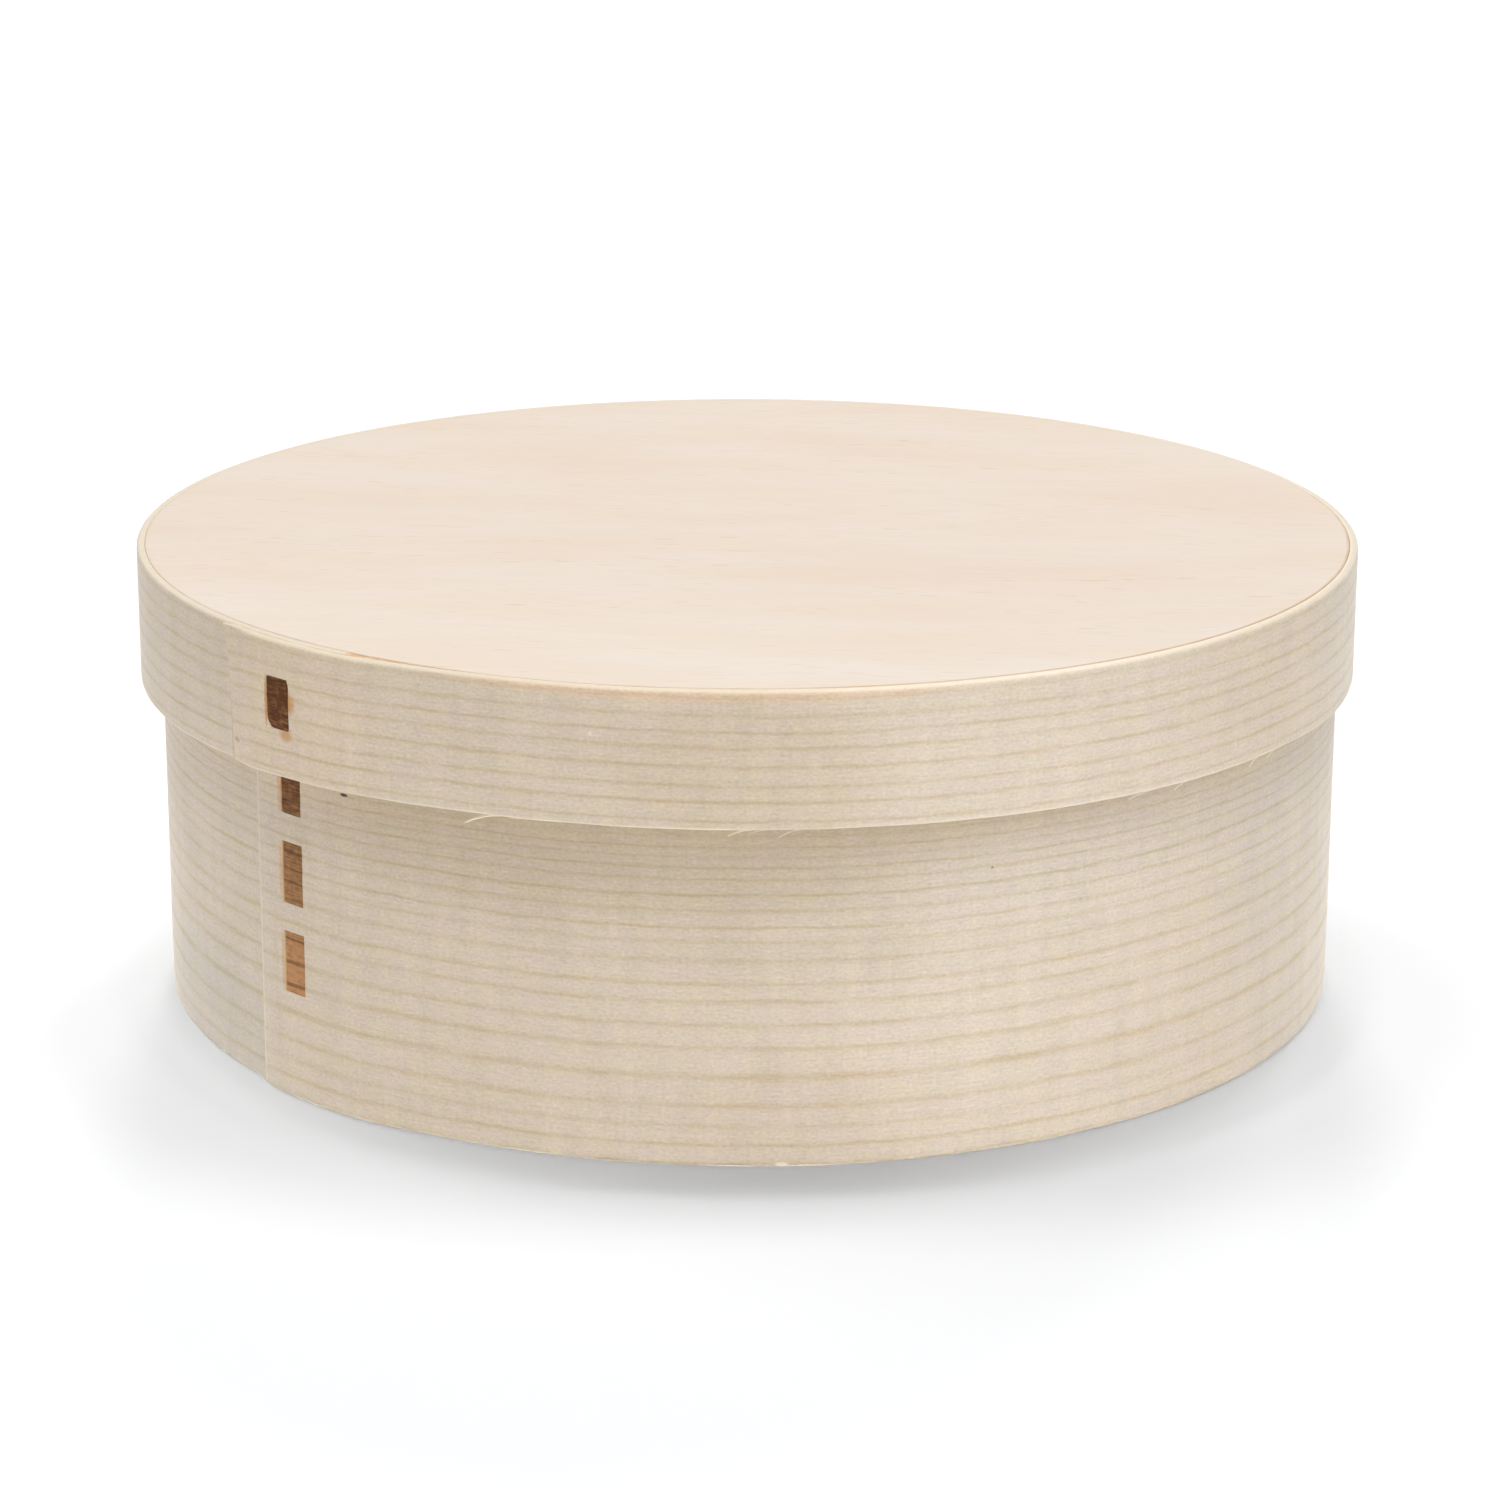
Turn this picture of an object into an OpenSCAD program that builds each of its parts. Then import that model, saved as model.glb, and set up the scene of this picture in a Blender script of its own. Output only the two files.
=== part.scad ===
// Round bentwood box with a cap lid.
// Each hoop is one veneer strip bent round until its ends lap. Bark lacing ties the lap,
// and a board is glued into each hoop: the bottom flush with the foot, the lid's flush with its top.
// Millimetres, +Z up. The origin is the centre of the body's foot, and -Y is the front.

/* [Box] */
// Outer diameter of the lid's hoop, away from its lap
lid_d = 150; // [100:1:240]
// Height of the closed box
box_h = 56.2; // [46:0.1:120]

/* [Lid] */
// Depth of the lid's hoop
lid_h = 15.8; // [13:0.1:30]
// Thickness of the lid's veneer
lid_t = 1; // [0.8:0.05:2]
// Thickness of the lid's board
lid_board_t = 2.5; // [1.5:0.1:5]
// Play between the lid and the body, the same at the lap and opposite it
lid_clearance = 0.75; // [0.4:0.05:2]
// Turn of the lid past the body's seam, in degrees
lid_turn = 1.3; // [-10:0.1:10]

/* [Body] */
// Thickness of the body's veneer
body_t = 1; // [0.8:0.05:2]
// Thickness of the bottom board
bottom_board_t = 2.5; // [1.5:0.1:5]
// Rounding of the foot's outer edge
foot_round = 0.7; // [0.1:0.05:1]

/* [Lap] */
// Direction of the body's seam, in degrees from +X towards +Y
seam_angle = 225.2; // [0:0.1:360]
// Length of the lid's lap along its hoop
lid_lap = 18.3; // [12:0.1:40]
// Length of the body's lap along its hoop
body_lap = 16; // [12:0.1:40]
// Tightest bend of the outer ply where it comes in over the inner end
lap_bend = 20; // [10:1:40]
// Length of the thinned outer end of each strip
skive_len = 3; // [1:0.1:4]
// Thickness left at the very end of each strip
skive_tip = 0.3; // [0.1:0.05:0.6]
// Glue line between the plies of a lap and round the boards
glue_line = 0.05; // [0.02:0.01:0.2]

/* [Edges] */
// Rounding along the rims of both hoops
rim_round = 0.2; // [0.05:0.05:0.4]
// Rounding round both boards
board_round = 0.2; // [0.05:0.05:0.7]

/* [Lacing] */
// Width of the bark strip
bark_w = 3.8; // [2:0.1:6]
// Thickness of the bark strip
bark_t = 0.4; // [0.2:0.05:0.6]
// How far the strip stands out of the veneer that it beds into
bark_proud = 0.05; // [0.01:0.01:0.15]
// Gap round the strip in its slits and beds
bark_gap = 0.05; // [0.02:0.01:0.15]
// Distance of the lacing from the middle of the lap towards the outer end
bark_shift = 0.7; // [0:0.1:2]
// Stitches up the body's lap
body_stitches = 3; // [1:1:3]
// Length of a stitch on the body
body_stitch = 7.8; // [4:0.1:8]
// Veneer left between two stitches
stitch_space = 3.05; // [2:0.05:4]
// Height of the row of stitches above the middle of the body
stitch_rise = 0.8; // [-1:0.1:1]
// Length of the tails inside the body
bark_tail = 5; // [2:0.1:6]
// Length of the stitch on the lid
lid_stitch = 6.4; // [4:0.1:8]
// Distance of that stitch below the lid's board
lid_stitch_drop = 1.6; // [0.5:0.1:2]

/* [Hidden] */
$fn = 180;

// Steps in a rounded edge, and how far a cut runs past the wood
round_steps = 3;
cut_past = 1;
// Each arc of a strip runs this far into the one before it, and is this much slimmer there
seat_len = 0.5;
seat_inset = 0.02;

veneer_color = [0.87, 0.79, 0.68];
board_color = [0.95, 0.89, 0.83];
bark_color = [0.47, 0.33, 0.22];

// The outer ply of a lap stands out over the inner one by the veneer and the glue line
body_step = body_t + glue_line;
lid_step = lid_t + glue_line;

// The body is round but for its lap, so the lid hangs half a step towards the seam
lid_shift = body_step / 2;
lid_r = lid_d / 2;
body_r = lid_r - lid_t - lid_clearance - lid_shift;

// The lid's board rests on the body's rim
body_h = box_h - lid_board_t;
lid_z = box_h - lid_h;

body_row = body_stitches * body_stitch + (body_stitches - 1) * stitch_space;
body_row_z = (body_h - body_row) / 2 + stitch_rise;
lid_stitch_z = body_h - lid_stitch_drop - lid_stitch;

// Angle of a length along a circle
function arc_angle(length, radius) = length / radius * 180 / PI;

// Points of a quarter round about a centre
function quarter(x, y, radius, start) =
    [for (i = [0:round_steps])
        let (a = start + 90 * i / round_steps)
        [x + radius * cos(a), y + radius * sin(a)]];

// Rectangle from [x0, y0] to [x1, y1] with its lower outer edge rounded apart from the other three
function eased_outline(x0, y0, x1, y1, edge, foot) = concat(
    quarter(x0 + edge, y0 + edge, edge, 180),
    quarter(x1 - foot, y0 + foot, foot, 270),
    quarter(x1 - edge, y1 - edge, edge, 0),
    quarter(x0 + edge, y1 - edge, edge, 90)
);

// One arc of a veneer strip, from angle a0 to a1 about the centre, with its outer face at radius r.
// An inset thins it on every side.
module strip_arc(r, t, h, foot, a0, a1, inset = 0) {
    edge = min(rim_round, t / 3);
    heel = min(foot, t - edge - 2 * inset);
    rotate(a0)
        rotate_extrude(angle = a1 - a0)
            polygon(eased_outline(r - t + inset, inset, r - inset, h - inset, edge, heel));
}

// Plane that thins the outer end of a strip, with the seam's middle on +X
module skive_cut(r, t, h, half_lap) {
    inner = r - t;
    reach = arc_angle(skive_len, r);
    run = [r * cos(reach) - inner - skive_tip, r * sin(reach)];
    rotate(-half_lap)
        translate([inner + skive_tip, 0, -cut_past])
            rotate(atan2(run.y, run.x))
                translate([-skive_tip, -t, 0])
                    cube([norm(run) + 2 * skive_tip, t, h + 2 * cut_past]);
}

// Lapped hoop: the outer ply, two tangent arcs that bring it in, and the full turn under it.
// The seam's middle is on +X, with the outer end before it and the inner end after it.
module lapped_hoop(r, t, h, step, lap, foot) {
    outer = r + step;
    half_lap = arc_angle(lap, outer) / 2;
    // The two arcs turn through the same angle about centres this far from the hoop's own
    offset_r = outer - lap_bend;
    half_run = acos(1 - step / (2 * offset_r));
    wide_r = r + offset_r;
    meet = half_lap + half_run;
    base = meet + half_run;
    bend_seat = arc_angle(seat_len, lap_bend);
    wide_seat = arc_angle(seat_len, wide_r);
    difference() {
        union() {
            strip_arc(outer, t, h, foot, -half_lap, half_lap);
            translate(offset_r * [cos(half_lap), sin(half_lap)])
                strip_arc(lap_bend, t, h, foot, half_lap - bend_seat, meet, seat_inset);
            translate(-offset_r * [cos(base), sin(base)])
                strip_arc(wide_r, t, h, foot, meet - wide_seat, base + wide_seat, 2 * seat_inset);
            strip_arc(r, t, h, foot, base, 360 + half_lap);
        }
        skive_cut(outer, t, h, half_lap);
    }
}

// Board with eased edges, standing on z = 0
module board(r, t) {
    edge = min(board_round, t / 3);
    rotate_extrude()
        polygon(concat(
            [[0, t], [0, 0]],
            quarter(r - edge, edge, edge, 270),
            quarter(r - edge, t - edge, edge, 0)
        ));
}

// Length of bark in the plane of radius and height, grown on every side for its bed
module bark_run(r0, r1, z0, z1, grow) {
    translate([r0 - grow, z0 - grow])
        square([r1 - r0 + 2 * grow, z1 - z0 + 2 * grow]);
}

// One stitch: through both plies, along the outside and back through
module stitch_section(inside, outside, z, length, grow) {
    bark_run(outside - bark_t, outside, z, z + length, grow);
    for (slit = [z, z + length - bark_t])
        bark_run(inside, outside, slit, slit + bark_t, grow);
}

// Sweeps a lacing section over the strip's width, on the outer end's side of the seam's middle
module lace(outside, grow) {
    spread = arc_angle(bark_w + 2 * grow, outside);
    rotate(-arc_angle(bark_shift, outside) - spread / 2)
        rotate_extrude(angle = spread)
            children();
}

// Foot of a stitch in the body's row, counted from the lowest
function stitch_z(i) = body_row_z + i * (body_stitch + stitch_space);

// Body lacing: a row of stitches joined by short runs inside, with a tail past each end
module body_lace(grow) {
    inside = body_r - body_t - bark_proud;
    outside = body_r + body_step + bark_proud;
    lace(outside, grow) {
        for (i = [0:body_stitches - 1])
            stitch_section(inside, outside, stitch_z(i), body_stitch, grow);
        for (i = [0:body_stitches]) {
            stitch_below = stitch_z(i - 1) + body_stitch;
            low = i == 0 ? stitch_z(0) - bark_tail : stitch_below - bark_t;
            high = i == body_stitches ? stitch_below + bark_tail : stitch_z(i) + bark_t;
            bark_run(inside, inside + bark_t, low, high, grow);
        }
    }
}

// Lid lacing: one stitch whose ends meet inside
module lid_lace(grow) {
    inside = lid_r - lid_t - bark_proud;
    outside = lid_r + lid_step + bark_proud;
    lace(outside, grow) {
        stitch_section(inside, outside, lid_stitch_z, lid_stitch, grow);
        bark_run(inside, inside + bark_t, lid_stitch_z, lid_stitch_z + lid_stitch, grow);
    }
}

// The lid's own centre and turn
module lid_place() {
    translate(lid_shift * [cos(seam_angle), sin(seam_angle)])
        rotate(seam_angle + lid_turn)
            children();
}

module body_hoop() {
    color(veneer_color)
        rotate(seam_angle)
            difference() {
                lapped_hoop(body_r, body_t, body_h, body_step, body_lap, foot_round);
                body_lace(bark_gap);
            }
}

module bottom_board() {
    color(board_color)
        board(body_r - body_t - glue_line, bottom_board_t);
}

module body_lacing() {
    color(bark_color)
        rotate(seam_angle)
            body_lace(0);
}

module lid_hoop() {
    color(veneer_color)
        lid_place()
            difference() {
                translate([0, 0, lid_z])
                    lapped_hoop(lid_r, lid_t, lid_h, lid_step, lid_lap, rim_round);
                lid_lace(bark_gap);
            }
}

module lid_board() {
    color(board_color)
        lid_place()
            translate([0, 0, body_h])
                board(lid_r - lid_t - glue_line, lid_board_t);
}

module lid_lacing() {
    color(bark_color)
        lid_place()
            lid_lace(0);
}

body_hoop();
bottom_board();
body_lacing();
lid_hoop();
lid_board();
lid_lacing();
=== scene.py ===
"""Round bentwood box: dressed meshes, materials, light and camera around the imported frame."""

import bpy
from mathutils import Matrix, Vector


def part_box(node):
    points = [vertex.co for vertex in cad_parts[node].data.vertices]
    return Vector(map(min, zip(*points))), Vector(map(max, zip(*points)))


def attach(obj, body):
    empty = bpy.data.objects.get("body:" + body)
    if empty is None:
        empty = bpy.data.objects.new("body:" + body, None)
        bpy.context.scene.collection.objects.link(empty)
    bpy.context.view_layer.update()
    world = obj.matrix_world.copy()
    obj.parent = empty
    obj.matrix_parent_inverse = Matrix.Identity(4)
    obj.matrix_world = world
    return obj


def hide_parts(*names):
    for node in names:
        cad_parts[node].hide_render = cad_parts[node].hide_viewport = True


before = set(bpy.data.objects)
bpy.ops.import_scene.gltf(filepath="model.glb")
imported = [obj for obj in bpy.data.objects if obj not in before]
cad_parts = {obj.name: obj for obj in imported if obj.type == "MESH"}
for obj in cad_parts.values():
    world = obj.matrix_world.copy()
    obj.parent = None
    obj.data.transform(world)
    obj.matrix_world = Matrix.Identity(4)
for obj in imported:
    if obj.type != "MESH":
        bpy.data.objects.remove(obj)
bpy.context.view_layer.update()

import math
from dataclasses import dataclass

import bmesh
import bpy
import numpy as np
from mathutils import Matrix, Vector

MM = 0.001

# Facets cut the solids' rounds short, so dressed faces lie this far inside the true radius
SKIN = 0.01 * MM

# Points nearer to each other than this are what a cut leaves of a corner, and become one
SLIVER = 0.004 * MM

# Sizes that the frame's solids have, in metres
LID_R = 75 * MM - SKIN
VENEER_T = 1 * MM
GLUE = 0.05 * MM
LID_PLAY = 0.75 * MM
LAP_STEP = VENEER_T + GLUE
LAP_BEND = 20 * MM
LID_LAP = 18.3 * MM
BODY_LAP = 16 * MM
SEAM = math.radians(225.2)
LID_TURN = math.radians(1.3)
BODY_SKIVE = 3 * MM
LID_SKIVE = 5.5 * MM
SKIVE_TIP = 0.3 * MM
# The lid's outer end runs a little past the solid's, is cut at a slant, and its upper corner has lifted
LID_REACH = 2 * MM
LID_SLANT = 1 * MM
LID_CURL = 0.5 * MM
CURL_RUN = 3 * MM
CURL_DROP = 4 * MM
RIM_ROUND = 0.2 * MM
LID_BROW = 0.45 * MM
FOOT_ROUND = 0.7 * MM
BOARD_ROUND = 0.2 * MM
# The lid's top is sanded flush, which leaves its glued edges almost sharp
SANDED = 0.015 * MM
BARK_W = 3.8 * MM
BARK_T = 0.4 * MM
BARK_PROUD = 0.05 * MM
BARK_GAP = 0.05 * MM
BARK_SHIFT = 0.7 * MM
BODY_STITCHES = 3
STITCH_SPACE = 3.05 * MM
BODY_STITCH = 7.8 * MM
BARK_TAIL = 5 * MM

# Loose fibres at the lid's lower rim: angle of the root from the front in degrees, then in
# millimetres the run to the right, the drop and the width
FIBRES = [
    (-21.2, -4.4, 1.4, 0.5),
    (-15.6, -6.2, 0.15, 0.4),
    (0.3, -2.4, 0.75, 0.46),
    (1.6, -1.9, 0.55, 0.3),
    (4.6, -2.4, 0.9, 0.36),
    (37.8, -3.8, 0.6, 0.5),
    (42.1, -2.6, 0.8, 0.36),
    (52.2, -2.2, 0.9, 0.4),
    (55.2, -2.4, 0.7, 0.36),
    (97, 2.4, 0.7, 0.2),
    (150, -3.1, 0.5, 0.26),
    (214, 2.0, 0.9, 0.22),
    (251, -4.2, 0.4, 0.28),
]

# Where the lid's lower rim dips: angle from the front and half width in degrees, depth in metres
LID_DIPS = [
    (-75, 48, 0.7 * MM),
    (72, 20, 0.45 * MM),
]

# Widths of the growth rings from the lower rim up, in millimetres
BODY_RINGS = [
    0.4, 2.3, 2.2, 2.4, 3.5, 3.4, 2.7, 2.8, 2.0, 2.8, 2.2, 1.6, 2.0, 1.8, 1.8, 1.4,
    1.2, 1.1, 1.3, 1.6, 1.4, 1.9, 1.7, 2.2, 1.8, 2.4, 2.0, 2.1,
]
LID_RINGS = [1.0, 2.2, 1.8, 2.2, 2.2, 1.7, 1.9, 2.0, 2.2]


# Frame: the lid hangs half a lap's step towards the seam, as its solids do

lid_low, lid_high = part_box("lid_hoop")
body_low, body_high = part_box("body_hoop")
lid_board_low, lid_board_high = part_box("lid_board")
bottom_low, bottom_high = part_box("bottom_board")
body_lace_low, body_lace_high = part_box("body_lacing")
lid_lace_low, lid_lace_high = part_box("lid_lacing")

LID_CENTRE = LAP_STEP / 2 * np.array([math.cos(SEAM), math.sin(SEAM)])
BODY_R = LID_R - VENEER_T - LID_PLAY - LAP_STEP / 2


@dataclass
class Hoop:
    """A lapped hoop: outer radius, lower rim, height and lap. For its outer end, the thinned length, how far
    it is drawn in at the foot and how far its upper corner lifts. Then the rounding of the lower outer,
    the upper outer and the upper inner edge, the dips of the lower rim, how far the lacing lies from
    the middle of the lap, the seam and the centre."""

    r: float
    low: float
    height: float
    lap: float
    skive: float
    slant: float
    curl: float
    heel: float
    brow: float
    lip: float
    dips: list
    lace_shift: float
    seam: float
    centre: np.ndarray

    @property
    def outer(self):
        """Outer radius of the ply that lies over the other end."""
        return self.r + LAP_STEP

    @property
    def inner(self):
        """Radius of the inside wall."""
        return self.r - VENEER_T

    @property
    def half_lap(self):
        return self.lap / self.outer / 2

    def strip_at(self, from_front):
        """Length along the strip at an angle in degrees from the front, negative to the left."""
        angle = math.radians(270 + from_front) - self.seam + self.half_lap
        return (angle % math.tau) * self.outer

    def dip(self, angle):
        """Drop of the lower rim at an angle from +X, soft at both ends."""
        total = 0.0
        for from_front, half, depth in self.dips:
            away = (math.degrees(angle) - 270 - from_front + 180) % 360 - 180
            if abs(away) < half:
                total += depth * math.cos(math.pi / 2 * away / half) ** 2
        return total


BODY = Hoop(
    r=BODY_R,
    low=body_low.z,
    height=body_high.z - body_low.z,
    lap=BODY_LAP,
    skive=BODY_SKIVE,
    slant=0.0,
    curl=0.0,
    heel=FOOT_ROUND,
    brow=RIM_ROUND,
    lip=RIM_ROUND,
    dips=[],
    lace_shift=BARK_SHIFT,
    seam=SEAM,
    centre=np.zeros(2),
)
LID = Hoop(
    r=LID_R,
    low=lid_low.z,
    height=lid_high.z - lid_low.z,
    lap=LID_LAP + LID_REACH,
    skive=LID_SKIVE,
    slant=LID_SLANT,
    curl=LID_CURL,
    heel=RIM_ROUND,
    brow=LID_BROW,
    lip=SANDED,
    dips=LID_DIPS,
    lace_shift=BARK_SHIFT - LID_REACH / 2,
    seam=SEAM + LID_TURN - LID_REACH / 2 / (LID_R + LAP_STEP),
    centre=LID_CENTRE,
)


# Mesh helpers


def direction(angle):
    return np.array([math.cos(angle), math.sin(angle)])


def wave(length, seed):
    """Slow wave between 0 and 1 along a length in metres, different for each seed."""
    mm = length / MM
    slow = math.sin(mm * 0.071 + seed * 2.4)
    mid = math.sin(mm * 0.19 + seed * 5.1)
    quick = math.sin(mm * 0.53 + seed * 1.7)
    return 0.5 + 0.25 * slow + 0.15 * mid + 0.1 * quick


def mesh_object(name, points, faces, maps, material):
    """Object from points and faces, with a UV map per entry of maps: name to a pair for each point."""
    mesh = bpy.data.meshes.new(name)
    mesh.from_pydata([tuple(p) for p in points], [], faces)
    corners = np.zeros(len(mesh.loops), np.int32)
    mesh.loops.foreach_get("vertex_index", corners)
    for map_name, values in maps.items():
        layer = mesh.uv_layers.new(name=map_name)
        layer.uv.foreach_set("vector", np.asarray(values, np.float32)[corners].ravel())
    mesh.materials.append(material)
    obj = bpy.data.objects.new(name, mesh)
    bpy.context.scene.collection.objects.link(obj)
    smooth(obj)
    return obj


def smooth(obj, angle=math.radians(34)):
    obj.data.update()
    obj.data.shade_smooth()
    obj.data.set_sharp_from_angle(angle=angle)


def loft(rings, closed_section=True):
    """Faces of a closed solid through rings of equal length, with both ends capped."""
    count, size = rings
    faces = []
    for i in range(count - 1):
        for j in range(size):
            k = (j + 1) % size
            faces.append((i * size + j, i * size + k, (i + 1) * size + k, (i + 1) * size + j))
    faces.append(tuple(reversed(range(size))))
    faces.append(tuple(range((count - 1) * size, count * size)))
    return faces


def quarter(x, y, radius, start, steps=5):
    """Points of a quarter round, from a start angle in degrees."""
    angles = [math.radians(start + 90 * i / steps) for i in range(steps + 1)]
    return [(x + radius * math.cos(a), y + radius * math.sin(a)) for a in angles]


def carve(obj, cutter):
    """Cuts one mesh out of another and drops the cutter."""
    cut = obj.modifiers.new("beds", "BOOLEAN")
    cut.operation = "DIFFERENCE"
    cut.solver = "EXACT"
    cut.object = cutter
    done = bpy.data.meshes.new_from_object(obj.evaluated_get(bpy.context.evaluated_depsgraph_get()))
    obj.modifiers.clear()
    obj.data = done
    bpy.data.objects.remove(cutter)
    clean = bmesh.new()
    clean.from_mesh(done)
    bmesh.ops.remove_doubles(clean, verts=clean.verts, dist=SLIVER)
    bmesh.ops.dissolve_verts(clean, verts=[v for v in clean.verts if len(v.link_edges) == 2])
    clean.to_mesh(done)
    clean.free()
    smooth(obj)


# Hoops


def stations(hoop, gap=0.8 * MM):
    """Stations of a veneer strip from its outer end to its inner end, with the seam's middle on +X.
    Each is the arc's centre, the outer face's radius, the angle and the length so far."""
    half = hoop.half_lap
    offset = hoop.outer - LAP_BEND
    half_run = math.acos(1 - LAP_STEP / (2 * offset))
    meet = half + half_run
    base = meet + half_run
    arcs = [
        (np.zeros(2), hoop.outer, -half, half),
        (offset * direction(half), LAP_BEND, half, meet),
        (-offset * direction(base), hoop.r + offset, meet, base),
        (np.zeros(2), hoop.r, base, math.tau + half),
    ]
    out = []
    length = 0.0
    for centre, radius, start, end in arcs:
        steps = math.ceil((end - start) * radius / gap)
        for i in range(0 if not out else 1, steps + 1):
            angle = start + (end - start) * i / steps
            out.append((centre, radius, angle, length + (angle - start) * radius))
        length += (end - start) * radius
    return out


def strip_section(hoop, face):
    """Outline of the strip in depth and height, where face is the depth of its outer face."""
    height = hoop.height
    thick = VENEER_T - face
    edge = min(RIM_ROUND, thick / 3)
    foot = min(hoop.heel, thick - edge)
    brow = min(hoop.brow, thick / 2)
    lip = min(hoop.lip, edge)
    rows = 7
    outline = [(face + foot - foot * math.cos(a), foot - foot * math.sin(a))
               for a in np.linspace(math.pi / 2, 0, 6)]
    outline += [(face, foot + (height - foot - brow) * i / rows) for i in range(1, rows)]
    outline += [(face + brow - brow * math.cos(a), height - brow + brow * math.sin(a))
                for a in np.linspace(0, math.pi / 2, 6)]
    outline += [(VENEER_T - lip + lip * math.sin(a), height - lip + lip * math.cos(a))
                for a in np.linspace(0, math.pi / 2, 6)]
    outline += [(VENEER_T, height - lip - (height - lip - edge) * i / rows) for i in range(1, rows)]
    outline += [(VENEER_T - edge + edge * math.cos(a), edge - edge * math.sin(a))
                for a in np.linspace(0, math.pi / 2, 6)]
    return outline


def hoop_mesh(name, hoop, material, low_wave, high_wave):
    """Veneer strip bent round and lapped. Both rims waver by the given heights."""
    points, strip, depth = [], [], []
    line = stations(hoop)
    for centre, radius, angle, length in line:
        skive = max(0.0, 1 - length / hoop.skive)
        outline = strip_section(hoop, (VENEER_T - SKIVE_TIP) * skive)
        low = low_wave * wave(length, 1)
        high = high_wave * wave(length, 2)
        dip = hoop.dip(angle + hoop.seam)
        end = max(0.0, 1 - length / CURL_RUN)
        for d, z in outline:
            share = z / hoop.height
            z += low * (1 - share) - high * share
            drawn_in = hoop.slant * end * (1 - share)
            lift = hoop.curl * (end * max(0.0, 1 - (hoop.height - z) / CURL_DROP)) ** 2
            out = (radius - d + lift) * direction(angle + drawn_in / radius)
            xy = hoop.centre + rotated(centre + out, hoop.seam)
            points.append((xy[0], xy[1], hoop.low + z - dip * (1 - share)))
            strip.append((length + drawn_in, z))
            depth.append((d, 0))
    faces = loft((len(line), len(outline)))
    return mesh_object(name, points, faces, {"strip": strip, "depth": depth}, material)


def rotated(point, angle):
    c, s = math.cos(angle), math.sin(angle)
    return np.array([c * point[0] - s * point[1], s * point[0] + c * point[1]])


# Boards


def board_mesh(name, centre, radius, low, high, top_edge, material, turns=240):
    """Round board with eased edges, as rings from the middle of its underside to the middle of its top."""
    outline = [(radius * share, 0.0) for share in (0.2, 0.4, 0.6, 0.8, 0.95)]
    outline += quarter(radius - BOARD_ROUND, BOARD_ROUND, BOARD_ROUND, -90)
    outline += quarter(radius - top_edge, high - low - top_edge, top_edge, 0)
    outline += [(radius * share, high - low) for share in (0.95, 0.8, 0.6, 0.4, 0.2)]
    points = []
    for r, z in outline:
        for i in range(turns):
            xy = centre + r * direction(math.tau * i / turns)
            points.append((xy[0], xy[1], low + z))
    return mesh_object(name, points, loft((len(outline), turns)), {}, material)


# Lacing


def rounded_path(corners, radius, steps=5):
    """Corners joined by straight runs, each corner turned on an arc."""
    path = [np.array(corners[0])]
    for before, corner, after in zip(corners, corners[1:], corners[2:]):
        corner = np.array(corner)
        enter = (np.array(before) - corner) / np.linalg.norm(np.array(before) - corner)
        leave = (np.array(after) - corner) / np.linalg.norm(np.array(after) - corner)
        middle = corner + radius * (enter + leave)
        for i in range(steps + 1):
            a = math.pi / 2 * i / steps
            path.append(middle - radius * (leave * math.cos(a) + enter * math.sin(a)))
    path.append(np.array(corners[-1]))
    return path


def refined(path, gap):
    """The same path with its long runs divided."""
    out = [path[0]]
    for a, b in zip(path, path[1:]):
        steps = max(1, math.ceil(np.linalg.norm(b - a) / gap))
        out += [a + (b - a) * i / steps for i in range(1, steps + 1)]
    return out


def ribbon_mesh(name, hoop, corners, material, grow, edges):
    """Bark strip along a path of radius and height, spread over its width round the hoop.
    edges gives how far the left and the right edge are drawn in at a height."""
    half_t = BARK_T / 2 + grow
    path = refined(rounded_path(corners, 0.3 * MM), 0.25 * MM)
    across = np.linspace(0, 1, 11)
    points, lace, strip, depth = [], [], [], []
    length = 0.0
    for i, here in enumerate(path):
        ahead, behind = path[min(i + 1, len(path) - 1)], path[max(i - 1, 0)]
        run = (ahead - behind) / np.linalg.norm(ahead - behind)
        side = np.array([run[1], -run[0]])
        length += np.linalg.norm(here - behind) if i else 0.0
        left, right = edges(here[1], length)
        for face in (1, -1):
            for u in across if face > 0 else across[::-1]:
                crown = (1 - (2 * u - 1) ** 8) ** 0.5 if not grow else 1.0
                r, z = here + face * side * half_t * (0.75 + 0.25 * crown)
                spread = -BARK_W / 2 - grow + left + u * (BARK_W + 2 * grow - left - right)
                angle = (spread - hoop.lace_shift) / hoop.outer
                xy = hoop.centre + rotated(r * direction(angle), hoop.seam)
                points.append((xy[0], xy[1], z))
                lace.append((u * BARK_W, length))
                strip.append(((hoop.half_lap + angle) * hoop.outer, z - hoop.low))
                depth.append((hoop.outer - r, 0))
    faces = loft((len(path), 2 * len(across)))
    return mesh_object(name, points, faces, {"strip": strip, "depth": depth, "lace": lace}, material)


def stitch_corners(hoop, feet, stitch, tails):
    """Corners of a row of stitches in radius and height, from the tail at the foot to the tail at the top."""
    inside = hoop.inner - BARK_PROUD + BARK_T / 2
    outside = hoop.outer + BARK_PROUD - BARK_T / 2
    corners = [(inside, feet[0] + BARK_T / 2 - tails[0])]
    for foot in feet:
        low, high = foot + BARK_T / 2, foot + stitch - BARK_T / 2
        corners += [(inside, low), (outside, low), (outside, high), (inside, high)]
    corners.append((inside, feet[-1] + stitch - BARK_T / 2 + tails[1]))
    return corners


# Glue and loose fibres


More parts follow.
